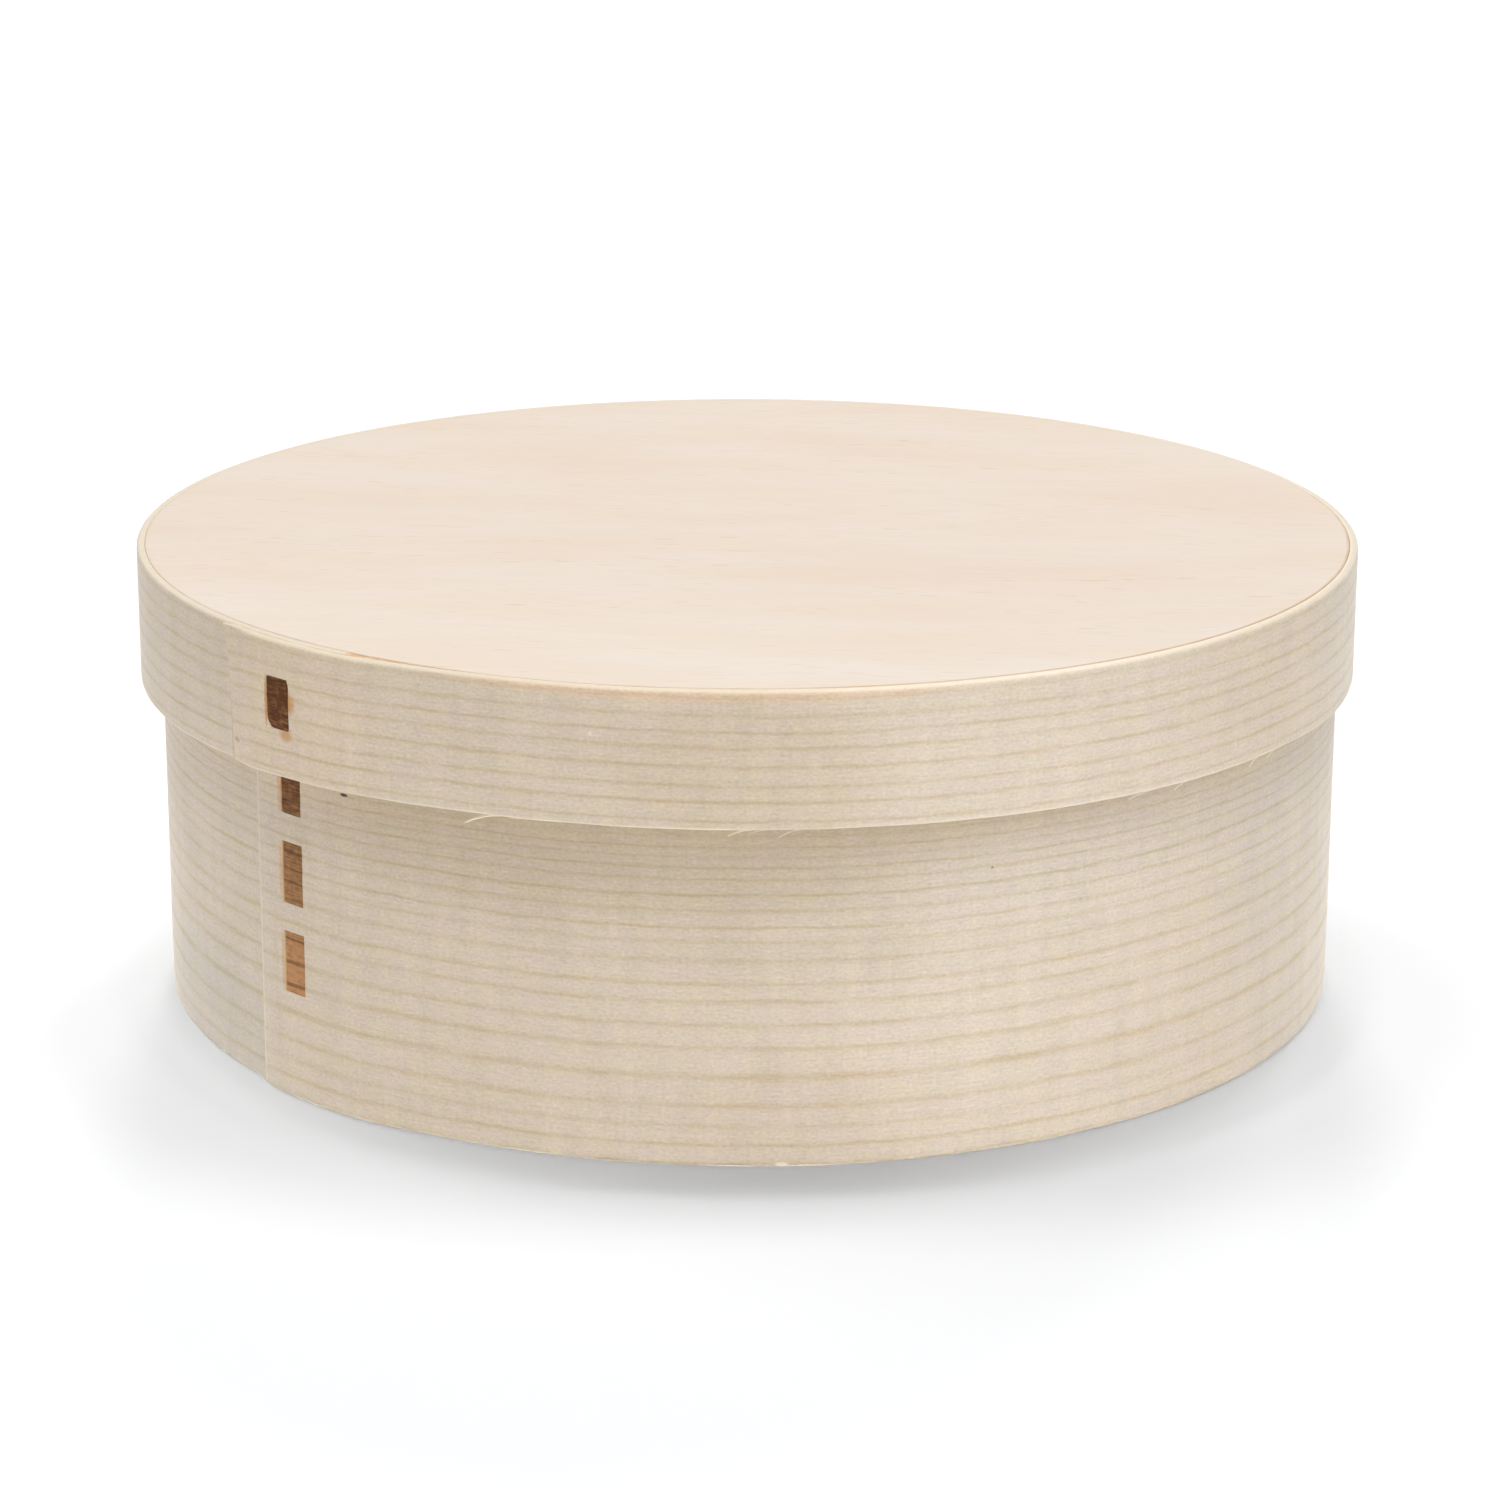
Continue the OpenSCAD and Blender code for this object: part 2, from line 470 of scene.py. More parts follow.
def bead_mesh(name, hoop, board_r, low, high, material):
    """Glue in the wedge between a board and the outer ply, from the inner end of the strip to where they meet."""
    points = []
    for centre, radius, angle, length in stations(hoop):
        inside = centre + (radius - VENEER_T) * direction(angle)
        gap = np.linalg.norm(inside) - board_r
        if length < hoop.lap or gap < 0.1 * MM:
            if length > hoop.lap:
                break
            continue
        unit = inside / np.linalg.norm(inside)
        sink = 0.1 * MM * wave(length * 4, 7)
        for r, z in ((board_r, high - sink), (board_r + gap, high), (board_r + gap, low), (board_r, low)):
            xy = hoop.centre + rotated(r * unit, hoop.seam)
            points.append((xy[0], xy[1], z))
    return mesh_object(name, points, loft((len(points) // 4, 4)), {}, material)


def fibre_mesh(name, hoop, fibres, material):
    """Slivers that have come loose at the lower rim: tapered strands that curl down from it."""
    points, strip, depth, faces = [], [], [], []
    steps = 10
    for root, run, drop, width in fibres:
        first = len(points)
        for i in range(steps + 1):
            t = i / steps
            angle = math.radians(270 + root) + run * MM * t / hoop.r
            half = width * MM / 2 * (1 - 0.6 * t)
            r = hoop.r - width * MM / 2 - 0.08 * MM * t
            z = hoop.low + 0.2 * MM - (drop + 0.1) * MM * t**1.6 - hoop.dip(angle)
            for dr, dz in ((half, 0), (0, half), (-half, 0), (0, -half)):
                xy = hoop.centre + (r + dr) * direction(angle)
                points.append((xy[0], xy[1], z + dz))
                strip.append((hoop.strip_at(root) + run * MM * t, 0.15 * MM))
                depth.append((0.5 * MM, 0))
        faces += [tuple(first + k for k in face) for face in loft((steps + 1, 4))]
    return mesh_object(name, points, faces, {"strip": strip, "depth": depth}, material)


# Materials


class Graph:
    """Node tree of one material, with a short call for each node that is used here."""

    def __init__(self, name):
        self.material = bpy.data.materials.new(name)
        self.material.use_nodes = True
        self.tree = self.material.node_tree
        self.tree.nodes.clear()

    def node(self, kind, inputs=(), **settings):
        node = self.tree.nodes.new(kind)
        for key, value in settings.items():
            setattr(node, key, value)
        for key, value in dict(inputs).items():
            self.feed(node.inputs[key], value)
        return node

    def feed(self, socket, value):
        if isinstance(value, bpy.types.NodeSocket):
            self.tree.links.new(value, socket)
        else:
            socket.default_value = value

    def math(self, operation, a, b=0.0, clamp=False):
        node = self.node("ShaderNodeMath", {0: a, 1: b}, operation=operation)
        node.use_clamp = clamp
        return node.outputs[0]

    def add(self, a, b):
        return self.math("ADD", a, b)

    def times(self, a, b):
        return self.math("MULTIPLY", a, b)

    def smoothstep(self, value, low, high):
        node = self.node("ShaderNodeMapRange", {0: value, 1: low, 2: high})
        node.interpolation_type = "SMOOTHSTEP"
        return node.outputs[0]

    def uv(self, name):
        """Both numbers of a UV map, in millimetres."""
        found = self.node("ShaderNodeUVMap", uv_map=name).outputs[0]
        parts = self.node("ShaderNodeSeparateXYZ", {0: found})
        return self.times(parts.outputs[0], 1 / MM), self.times(parts.outputs[1], 1 / MM)

    def place(self):
        """Place on the object, in millimetres."""
        found = self.node("ShaderNodeTexCoord").outputs["Object"]
        parts = self.node("ShaderNodeSeparateXYZ", {0: found})
        return [self.times(parts.outputs[i], 1 / MM) for i in range(3)]

    def vector(self, x, y, z=0.0):
        return self.node("ShaderNodeCombineXYZ", {0: x, 1: y, 2: z}).outputs[0]

    def noise(self, x, y, z=0.0, detail=2.0, rough=0.5):
        """Noise between about 0.2 and 0.8, one feature per unit."""
        inputs = {"Vector": self.vector(x, y, z), "Scale": 1.0, "Detail": detail, "Roughness": rough}
        return self.node("ShaderNodeTexNoise", inputs).outputs[0]

    def centred(self, noise, reach):
        """Noise turned into a number from about -reach to reach."""
        return self.times(self.math("SUBTRACT", noise, 0.5), 3 * reach)

    def chance(self, value):
        """A random number from 0 to 1 for each whole number."""
        return self.node("ShaderNodeTexWhiteNoise", {"W": value}, noise_dimensions="1D").outputs[0]

    def curve(self, value, points):
        """Straight pieces through points from 0 to 1."""
        node = self.node("ShaderNodeFloatCurve", {1: value})
        line = node.mapping.curves[0].points
        line[0].location, line[1].location = points[0], points[-1]
        for x, y in points[1:-1]:
            line.new(x, y)
        for point in line:
            point.handle_type = "VECTOR"
        node.mapping.update()
        return node.outputs[0]

    def mix(self, share, a, b):
        node = self.node("ShaderNodeMix", data_type="RGBA")
        self.feed(node.inputs["Factor"], share)
        self.feed(node.inputs["A"], a)
        self.feed(node.inputs["B"], b)
        return node.outputs["Result"]

    def shade(self, colour, factor):
        """Colour times a number."""
        node = self.node("ShaderNodeVectorMath", {0: colour}, operation="SCALE")
        self.feed(node.inputs["Scale"], factor)
        return node.outputs[0]

    def gain(self, colour, factors):
        """Colour times a factor for each of red, green and blue."""
        return self.node("ShaderNodeVectorMath", {0: colour, 1: factors}, operation="MULTIPLY").outputs[0]

    def spot(self, x, y, at, half, ragged=0.3, soft=1.0):
        """Soft ellipse: 1 in the middle, 0 past its edge, with a ragged outline. soft sets how slowly it fades."""
        dx = self.times(self.math("SUBTRACT", x, at[0]), 1 / half[0])
        dy = self.times(self.math("SUBTRACT", y, at[1]), 1 / half[1])
        far = self.add(self.times(dx, dx), self.times(dy, dy))
        far = self.add(far, self.centred(self.noise(self.times(x, 2.0), self.times(y, 2.0)), ragged))
        return self.smoothstep(far, 1.3, 1.3 - soft)

    def finish(self, colour, roughness, height, depth, **fixed):
        """Surface with that colour, roughness and relief. fixed holds numbers that are the same all over."""
        bump = self.node("ShaderNodeBump", {"Height": height, "Distance": depth, "Strength": 1.0})
        inputs = {"Base Color": colour, "Roughness": roughness, "Normal": bump.outputs[0], **fixed}
        surface = self.node("ShaderNodeBsdfPrincipled", inputs)
        out = self.node("ShaderNodeOutputMaterial")
        self.tree.links.new(surface.outputs[0], out.inputs[0])
        return self.material


def srgb(r, g, b):
    """Linear colour from the 0 to 255 numbers that a picture shows."""
    parts = [c / 255 for c in (r, g, b)]
    return [c / 12.92 if c <= 0.04045 else ((c + 0.055) / 1.055) ** 2.4 for c in parts] + [1.0]


EARLYWOOD = srgb(226, 211, 187)
EARLYWOOD_ROSY = srgb(227, 210, 192)
LATEWOOD = srgb(206, 186, 143)
AMBER = srgb(216, 180, 122)
CUT_EDGE = srgb(248, 236, 212)
SCORCH = srgb(212, 148, 66)
SPECK = srgb(40, 26, 16)
TAN = srgb(172, 124, 74)
GLUE_BEAD = srgb(224, 174, 120)
BOARD_PALE = srgb(236, 222, 208)
BOARD_WARM = srgb(235, 216, 197)
BOARD_FLECK = srgb(214, 188, 160)
GLUE_LINE = srgb(206, 160, 110)
BARK_DARK = srgb(93, 54, 23)
BARK_LIGHT = srgb(202, 149, 102)
BARK_LINE = srgb(44, 25, 13)
BARK_EDGE = srgb(230, 184, 128)


# Side of a board where the most glue shows, towards the right and the front
GLUE_SIDE = direction(math.radians(-45))


NO_TINT = (1.0, 1.0, 1.0, 1.0)
# Painted shade under the lid's rim: the wood darker and yellower there
UNDER_LID_PAINTED_SHADE = (0.97, 0.955, 0.91, 1.0)
# Painted light on the front of a board: lighter and cooler
FRONT_PAINTED_LIGHT = (1.05, 1.07, 1.08, 1.0)


def growth_rings(g, hoop, rings, seed, along, up, inward):
    """Growth rings of a strip: distance from the nearest ring's line, from 0 to 0.5, and its number.
    They wander slowly along the strip, shift a little from fibre to fibre and lean through its thickness."""
    drift = g.centred(g.noise(g.times(along, 1 / 70), seed, detail=1.0), 0.45)
    ripple = g.centred(g.noise(g.times(along, 1 / 5), g.times(up, 1 / 1.2), seed + 3.0), 0.2)
    level = g.add(g.add(up, drift), g.add(ripple, g.times(inward, 0.7)))
    tops = np.cumsum(rings)
    span = max(tops[-1], hoop.height / MM + 2)
    marks = [(0.0, 0.0)]
    marks += [(h / span, (i + 1) / (len(rings) + 1)) for i, h in enumerate(tops) if h < span]
    marks += [(1.0, 1.0)]
    age = g.times(g.curve(g.times(level, 1 / span), marks), len(rings) + 1.0)
    year = g.math("FLOOR", g.add(age, 0.5))
    return g.math("ABSOLUTE", g.math("SUBTRACT", age, year)), year


def veneer(name, hoop, rings, seed, light, end_pale, foot_pale_and_lit, painted_shade_from, tints_and_painted_light, stains):
    """Straight-grained softwood: growth rings along the strip, fine fibres, pale cut edges and stains.
    light is the strip's tone; the two numbers after it say how pale its outer end and its lower rim are, the lower
    rim partly as a painted highlight.
    From a given height up, in millimetres, painted shade under the lid's rim makes the wood darker and yellower.
    Tints are wide and soft, and most of them are painted light or shade."""
    g = Graph(name)
    along, up = g.uv("strip")
    inward, _ = g.uv("depth")
    height = hoop.height / MM
    near, year = growth_rings(g, hoop, rings, seed, along, up, inward)
    line = g.smoothstep(near, 0.18, 0.0)
    strength = g.add(0.28, g.times(g.chance(g.add(year, seed)), 0.4))
    dash = g.smoothstep(g.noise(g.times(along, 1 / 7), g.times(year, 3.7), seed, detail=3.0), 0.3, 0.65)
    line = g.math("MULTIPLY", g.times(line, strength), g.add(0.45, g.times(dash, 0.6)), clamp=True)
    amber = g.smoothstep(g.noise(g.times(along, 1 / 6), g.times(year, 5.3), seed + 6.0), 0.5, 0.65)
    late = g.times(g.smoothstep(near, 0.5, 0.05), 0.1)

    # Fibres, pores and the faint cross marks of bending
    fibre = g.noise(g.times(along, 1 / 9), g.times(up, 1 / 0.3), g.times(inward, 3.0), detail=3.0)
    hair = g.noise(g.times(along, 1 / 1.5), g.times(up, 1 / 0.28), g.times(inward, 3.0), detail=2.0)
    cloud = g.noise(g.times(along, 1 / 24), g.times(up, 1 / 6), seed, detail=3.0)
    felt = g.noise(g.times(along, 1 / 0.45), g.times(up, 1 / 0.3), seed, detail=2.0)
    cross = g.noise(g.times(along, 1 / 2.6), g.times(up, 1 / 18), seed + 8.0, detail=2.0)
    tone = g.add(g.centred(fibre, 0.05), g.centred(hair, 0.08))
    tone = g.add(tone, g.add(g.centred(cloud, 0.04), g.centred(felt, 0.13)))
    tone = g.add(g.add(tone, g.centred(cross, 0.05)), light)

    share = g.math("ADD", line, late, clamp=True)
    rosy = g.smoothstep(g.noise(g.times(along, 1 / 5), g.times(up, 1 / 2.5), seed + 12.0, detail=2.0), 0.35, 0.65)
    early = g.mix(rosy, EARLYWOOD, EARLYWOOD_ROSY)
    colour = g.shade(g.mix(share, early, g.mix(g.times(amber, 0.4), LATEWOOD, AMBER)), tone)
    # Painted shade under the lid's rim: from the given height up, along a wavy line, the wood is darker and
    # yellower
    painted_shade_line = g.add(up, g.centred(g.noise(g.times(along, 1 / 30), seed + 21.0), 2.0))
    colour = g.gain(colour, g.mix(g.smoothstep(painted_shade_line, painted_shade_from - 4, painted_shade_from + 3), NO_TINT, UNDER_LID_PAINTED_SHADE))
    # Wide soft patches, most of them painted light, shade or reflection
    for at, half, gain in tints_and_painted_light:
        colour = g.gain(colour, g.mix(g.spot(along, up, at, half, ragged=0.0), NO_TINT, gain))

    # Cut rims and the very end are paler; at the lower rim this is partly a painted highlight
    below = g.math("SUBTRACT", height, up)
    top_rim = g.times(g.smoothstep(below, 0.35, 0.05), 0.6)
    tip = g.times(g.smoothstep(along, 0.6, 0.2), end_pale)
    bright = g.smoothstep(g.noise(g.times(along, 1 / 14), seed + 18.0), 0.35, 0.6)
    low_rim_pale_and_lit = g.times(g.smoothstep(up, 0.4, 0.15), g.times(g.add(0.35, g.times(bright, 0.65)), foot_pale_and_lit))
    colour = g.mix(g.math("MAXIMUM", g.math("MAXIMUM", top_rim, tip), low_rim_pale_and_lit), colour, CUT_EDGE)

    # Glue shows between the plies of the lap
    lap = hoop.lap / MM
    end = stations(hoop)[-1][-1] / MM
    over = g.times(g.smoothstep(along, lap + 6, lap + 2), g.smoothstep(inward, 0.78, 0.9))
    under = g.times(g.smoothstep(along, end - lap + 0.1, end - lap + 0.3), g.smoothstep(inward, 0.22, 0.1))
    patchy = g.smoothstep(g.noise(g.times(along, 1 / 3), seed + 15.0), 0.4, 0.6)
    glued = g.times(g.math("MAXIMUM", over, under), g.add(0.15, g.times(patchy, 0.6)))
    colour = g.mix(glued, colour, GLUE_LINE)
    for at, half, stain, weight, soft in stains:
        mask = g.times(g.spot(along, up, at, half, soft=soft), weight)
        colour = g.mix(mask, colour, stain)

    relief = g.add(g.times(fibre, 0.4), g.add(g.times(hair, 0.3), g.times(share, 0.2)))
    relief = g.add(relief, g.times(felt, 0.35))
    roughness = g.add(0.52, g.times(felt, 0.2))
    tangent = g.node("ShaderNodeTangent", direction_type="UV_MAP", uv_map="strip").outputs[0]
    fixed = {"Anisotropic": 0.9, "Anisotropic Rotation": 0.25, "Tangent": tangent}
    fuzz = {"Sheen Weight": 0.12, "Sheen Roughness": 0.35}
    return g.finish(colour, roughness, relief, 0.05 * MM, **fixed, **fuzz)


def board_wood(name, centre, radius, turn, seed):
    """Pale fine-grained board: faint streaks and flecks along the grain, a darker line where it is glued in, and
    painted light that makes its front lighter and cooler.
    """
    g = Graph(name)
    x, y, z = g.place()
    c, s = math.cos(turn), math.sin(turn)
    along = g.add(g.times(x, c), g.times(y, s))
    across = g.add(g.times(y, c), g.times(x, -s))
    bend = g.centred(g.noise(g.times(along, 1 / 50), g.times(across, 1 / 40), seed), 3.0)
    across = g.add(across, bend)
    through = g.times(z, 2.0)

    streak = g.noise(g.times(along, 1 / 26), g.times(across, 1 / 1.1), through, detail=4.0, rough=0.6)
    fine = g.noise(g.times(along, 1 / 5), g.times(across, 1 / 0.24), through, detail=2.0)
    front = g.smoothstep(g.add(y, g.times(x, 0.25)), -10.0, -80.0)
    cloud = g.noise(g.times(along, 1 / 40), g.times(across, 1 / 14), seed + 4.0, detail=3.0)
    dash = g.noise(g.times(along, 1 / 3.2), g.times(across, 1 / 0.3), g.add(through, 7.0), detail=0.0)
    fleck = g.times(g.smoothstep(dash, 0.66, 0.8), g.smoothstep(streak, 0.45, 0.62))

    colour = g.mix(g.smoothstep(cloud, 0.3, 0.7), BOARD_PALE, BOARD_WARM)
    tone = g.add(1.0, g.add(g.centred(streak, 0.026), g.centred(fine, 0.02)))
    colour = g.mix(g.times(fleck, 0.6), g.shade(colour, tone), BOARD_FLECK)
    # Painted light: towards the front the board is lighter and cooler
    colour = g.gain(colour, g.mix(front, NO_TINT, FRONT_PAINTED_LIGHT))

    dx = g.math("SUBTRACT", x, centre[0] / MM)
    dy = g.math("SUBTRACT", y, centre[1] / MM)
    far = g.math("SQRT", g.add(g.times(dx, dx), g.times(dy, dy)))
    glued = g.smoothstep(far, radius / MM - 0.42, radius / MM - 0.12)
    patchy = g.centred(g.noise(g.times(x, 1 / 5), g.times(y, 1 / 5), seed + 2.0, detail=3.0), 0.3)
    side = g.add(g.times(dx, MM / radius * GLUE_SIDE[0]), g.times(dy, MM / radius * GLUE_SIDE[1]))
    thick = g.smoothstep(g.add(side, patchy), 0.45, 1.0)
    colour = g.mix(g.times(glued, g.add(0.1, g.times(thick, 0.65))), colour, GLUE_LINE)

    relief = g.add(g.times(fine, 0.5), g.times(streak, 0.5))
    roughness = g.add(0.52, g.times(fine, 0.12))
    return g.finish(colour, roughness, relief, 0.02 * MM)


def bark(name, hoop, rings, veneer_seed, low, high, light_low, light_high, fringe, seed):
    """Brown bark strip, from one lightness at its foot to another at its top. Dark lines cross it where
    the veneer's rings press through, and its left edge is paler over the width fringe, in millimetres."""
    g = Graph(name)
    across, along = g.uv("lace")
    round_hoop, up = g.uv("strip")
    x, y, z = g.place()
    light = g.node("ShaderNodeMapRange", {0: z, 1: low / MM, 2: high / MM, 3: light_low, 4: light_high})
    near, year = growth_rings(g, hoop, rings, veneer_seed, round_hoop, up, 0.0)
    ring = g.times(g.smoothstep(near, 0.13, 0.03), g.add(0.4, g.times(g.chance(g.add(year, seed)), 0.6)))
    grain = g.noise(g.times(across, 1 / 2.2), g.times(along, 1 / 0.2), seed + 2.0, detail=3.0)
    patch = g.noise(g.times(across, 1 / 0.8), g.times(along, 1 / 0.9), seed + 5.0, detail=3.0)
    tone = g.add(light.outputs[0], g.add(g.centred(grain, 0.38), g.centred(patch, 0.26)))
    colour = g.mix(g.math("ADD", tone, 0.0, clamp=True), BARK_DARK, BARK_LIGHT)
    colour = g.mix(g.times(ring, g.add(0.42, g.times(light.outputs[0], 0.25))), colour, BARK_LINE)
    worn = g.centred(g.noise(g.times(along, 1 / 0.5), seed + 9.0), 0.1)
    edge = g.smoothstep(g.add(across, worn), fringe, fringe / 2)
    colour = g.mix(g.times(edge, 0.8), colour, BARK_EDGE)
    relief = g.add(g.times(grain, 0.6), g.times(ring, -0.6))
    roughness = g.add(0.55, g.times(patch, 0.2))
    return g.finish(colour, roughness, relief, 0.05 * MM, **{"Specular IOR Level": 0.12})


def glue(name):
    """Dried glue: tan, uneven, with a slight shine."""
    g = Graph(name)
    x, y, z = g.place()
    blot = g.noise(g.times(x, 1 / 2.0), g.times(y, 1 / 2.0), z, detail=3.0)
    fine = g.noise(g.times(x, 1 / 0.3), g.times(y, 1 / 0.3), g.times(z, 1 / 0.3))
    colour = g.mix(g.smoothstep(blot, 0.35, 0.7), GLUE_BEAD, CUT_EDGE)
    return g.finish(g.shade(colour, g.add(1.0, g.centred(fine, 0.06))), g.add(0.35, g.times(fine, 0.2)), blot, 0.05 * MM)


# Pieces



def stitch_stains(hoop, feet, stitch, weight):
    """Faint scorch along the left edge of each stitch, as place, half size, colour and weight."""
    middle = (hoop.lap / 2 - hoop.lace_shift) / MM
    left = middle - BARK_W / MM / 2 - 0.1
    length = stitch / MM
    return [((left, (foot - hoop.low) / MM + length / 2), (0.3, length / 2), SCORCH, weight, 1.0) for foot in feet]


body_feet = [body_lace_low.z + BARK_TAIL + i * (BODY_STITCH + STITCH_SPACE) for i in range(BODY_STITCHES)]
lid_feet = [lid_lace_low.z]
lid_stitch = lid_lace_high.z - lid_lace_low.z
lid_stitch_right = (LID.lap / 2 - LID.lace_shift + BARK_W / 2) / MM
lid_stitch_foot = (lid_lace_low.z - LID.low) / MM
LID_STAINS = stitch_stains(LID, lid_feet, lid_stitch, 0.75) + [
    ((lid_stitch_right + 0.1, lid_stitch_foot + 3.6), (1.05, 1.5), SCORCH, 0.85, 1.5),
    ((lid_stitch_right - 0.6, lid_stitch_foot - 0.1), (1.2, 1.0), SCORCH, 0.75, 1.5),
    ((1.9, 2.6), (0.8, 0.3), TAN, 0.5, 1.3),
    ((1.9, 1.2), (0.9, 0.8), CUT_EDGE, 0.3, 1.3),
    ((LID.strip_at(-13.3) / MM, 10.5), (0.25, 0.3), CUT_EDGE, 0.9, 1.0),
]
BODY_STAINS = stitch_stains(BODY, body_feet, BODY_STITCH, 0.4) + [
    ((BODY.strip_at(-38.3) / MM, 39.0), (0.65, 0.2), SPECK, 0.95, 1.0),
    ((BODY.strip_at(21) / MM, 33.8), (0.2, 0.16), TAN, 0.8, 1.0),
    ((BODY.strip_at(2.4) / MM, 0.4), (0.8, 0.3), CUT_EDGE, 0.9, 1.0),
    ((BODY.strip_at(14) / MM, 0.3), (0.4, 0.25), CUT_EDGE, 0.6, 1.0),
]

LID_SEED = 4.0
BODY_SEED = 1.0


def tint_at(hoop, from_front, up, half, gain):
    """Wide soft tint at an angle from the front and a height, with its half size in millimetres. Most of these are
    painted light, shade or reflection.
    """
    return (hoop.strip_at(from_front) / MM, up), half, (*gain, 1.0)


# Lid: painted light and shade, a painted reflection and a warm band under the top rim
LID_TINTS_AND_PAINTED_LIGHT = [
    # Painted light: the left of the lid is lighter
    tint_at(LID, -46, 8, (18, 14), (1.05, 1.02, 0.99)),
    # Painted shade: the front of the lid is darker and warmer
    tint_at(LID, 0, 6, (16, 11), (0.945, 0.935, 0.9)),
    # A warm band just under the top rim
    tint_at(LID, -4, 15.8, (34, 1.5), (1.08, 0.98, 0.91)),
    # Painted reflection: the right end is greyer and cooler
    tint_at(LID, 84, 8, (30, 18), (0.955, 0.985, 1.02)),
]
# Body: painted light, shade and reflection
BODY_PAINTED_LIGHT = [
    # Painted shade under the lid's rim, at the left and the front: darker and warmer
    tint_at(BODY, -14, 36, (40, 8), (0.95, 0.94, 0.9)),
    # Painted light: the upper left is lighter
    tint_at(BODY, -60, 30, (16, 8), (1.04, 1.05, 1.05)),
    # Painted highlight: the upper right is lighter and cooler
    tint_at(BODY, 40, 32, (36, 8), (1.03, 1.04, 1.06)),
    # Painted shade: the upper front is a little darker
    tint_at(BODY, 4, 27, (16, 9), (0.97, 0.97, 0.96)),
    # Painted shade: the lower left is darker and cooler
    tint_at(BODY, -66, 5, (18, 10), (0.93, 0.96, 1.0)),
    # Painted shade: the lower front is darker
    tint_at(BODY, 5, 5, (16, 9), (0.96, 0.95, 0.94)),
    # Painted reflection: the right side is greyer and cooler
    tint_at(BODY, 68, 20, (28, 30), (0.965, 0.985, 1.02)),
]
# The body is painted with shade from 38 mm up, under the lid's rim; the lid gets none
lid_veneer = veneer("lid veneer", LID, LID_RINGS, LID_SEED, 1.06, 0.0, 1.0, 99.0, LID_TINTS_AND_PAINTED_LIGHT, LID_STAINS)
body_veneer = veneer("body veneer", BODY, BODY_RINGS, BODY_SEED, 1.0, 0.5, 0.25, 38.0, BODY_PAINTED_LIGHT, BODY_STAINS)


def waver(length):
    """Waver of a bark strip's two edges, cut by hand."""
    return 0.12 * MM * wave(length * 6, 3), 0.12 * MM * wave(length * 6, 5)


def body_edges(z, length):
    """Edges of the body's lacing, a little narrower at the left."""
    left, right = waver(length)
    return left + 0.2 * MM, right


def lid_edges(z, length):
    """Edges of the lid's stitch, with worn corners. The lower left one is the roundest."""
    left, right = waver(length)
    over_foot, under_head = (z - lid_lace_low.z) / MM, (lid_lace_high.z - z) / MM
    left += MM * (1.1 * max(0.0, 1 - over_foot / 1.5) ** 2 + 0.3 * max(0.0, 1 - under_head / 0.6) ** 2)
    right += MM * (0.3 * max(0.0, 1 - over_foot / 0.7) ** 2 + 0.5 * max(0.0, 1 - under_head / 1.1) ** 2)
    return left, right


body_corners = stitch_corners(BODY, body_feet, BODY_STITCH, (BARK_TAIL, BARK_TAIL))
lid_corners = stitch_corners(LID, lid_feet, lid_stitch, (-lid_stitch * 0.4, -lid_stitch * 0.4))

body_top = body_feet[-1] + BODY_STITCH
body_bark = bark("body bark", BODY, BODY_RINGS, BODY_SEED, body_feet[0], body_top, 1.0, 0.04, 0.4, 2.0)
lid_bark = bark("lid bark", LID, LID_RINGS, LID_SEED, lid_lace_low.z, lid_lace_high.z, 0.12, -0.02, 0.12, 6.0)

body_hoop = hoop_mesh("body_strip", BODY, body_veneer, 0.0, 0.1 * MM)
lid_hoop = hoop_mesh("lid_strip", LID, lid_veneer, 0.12 * MM, 0.04 * MM)
carve(body_hoop, ribbon_mesh("body_bed", BODY, body_corners, body_veneer, BARK_GAP, body_edges))
carve(lid_hoop, ribbon_mesh("lid_bed", LID, lid_corners, lid_veneer, BARK_GAP, lid_edges))
body_lace = ribbon_mesh("body_bark", BODY, body_corners, body_bark, 0.0, body_edges)
lid_lace = ribbon_mesh("lid_bark", LID, lid_corners, lid_bark, 0.0, lid_edges)

BODY_BOARD_R = BODY.inner - GLUE
LID_BOARD_R = LID.inner - GLUE
lid_wood = board_wood("lid board wood", LID.centre, LID_BOARD_R, math.radians(-6), 3.0)
bottom_wood = board_wood("bottom board wood", BODY.centre, BODY_BOARD_R, math.radians(14), 11.0)
lid_board = board_mesh("lid_panel", LID.centre, LID_BOARD_R, lid_board_low.z, lid_board_high.z, SANDED, lid_wood)
bottom_board = board_mesh("bottom_panel", BODY.centre, BODY_BOARD_R, bottom_low.z, bottom_high.z, BOARD_ROUND, bottom_wood)

bead = glue("glue")
lid_bead = bead_mesh("lid_glue", LID, LID_BOARD_R, lid_board_low.z, lid_board_high.z - 0.12 * MM, bead)
bottom_bead = bead_mesh("bottom_glue", BODY, BODY_BOARD_R, 0.35 * MM, bottom_high.z - 0.1 * MM, bead)
lid_fibres = fibre_mesh("lid_fibres", LID, FIBRES, lid_veneer)

for piece, body, slot in ((lid_bead, "lid", "board"), (bottom_bead, "box", "board"), (lid_fibres, "lid", "veneer")):
    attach(piece, body)

for piece, body, node, slot in (
    (body_hoop, "box", "body_hoop", "veneer"),
    (bottom_board, "box", "bottom_board", "board"),
    (body_lace, "box", "body_lacing", "bark"),
    (lid_hoop, "lid", "lid_hoop", "veneer"),
    (lid_board, "lid", "lid_board", "board"),
    (lid_lace, "lid", "lid_lacing", "bark"),
):
    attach(piece, body)
    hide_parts(node)


# Camera, fitted to the rims in the photograph

CAMERA_AT = Vector((0.02, -541.2, 188.7)) * MM
CAMERA_PITCH = 0.2901
CAMERA_ROLL = 0.0026
CAMERA_LENS = 107.84

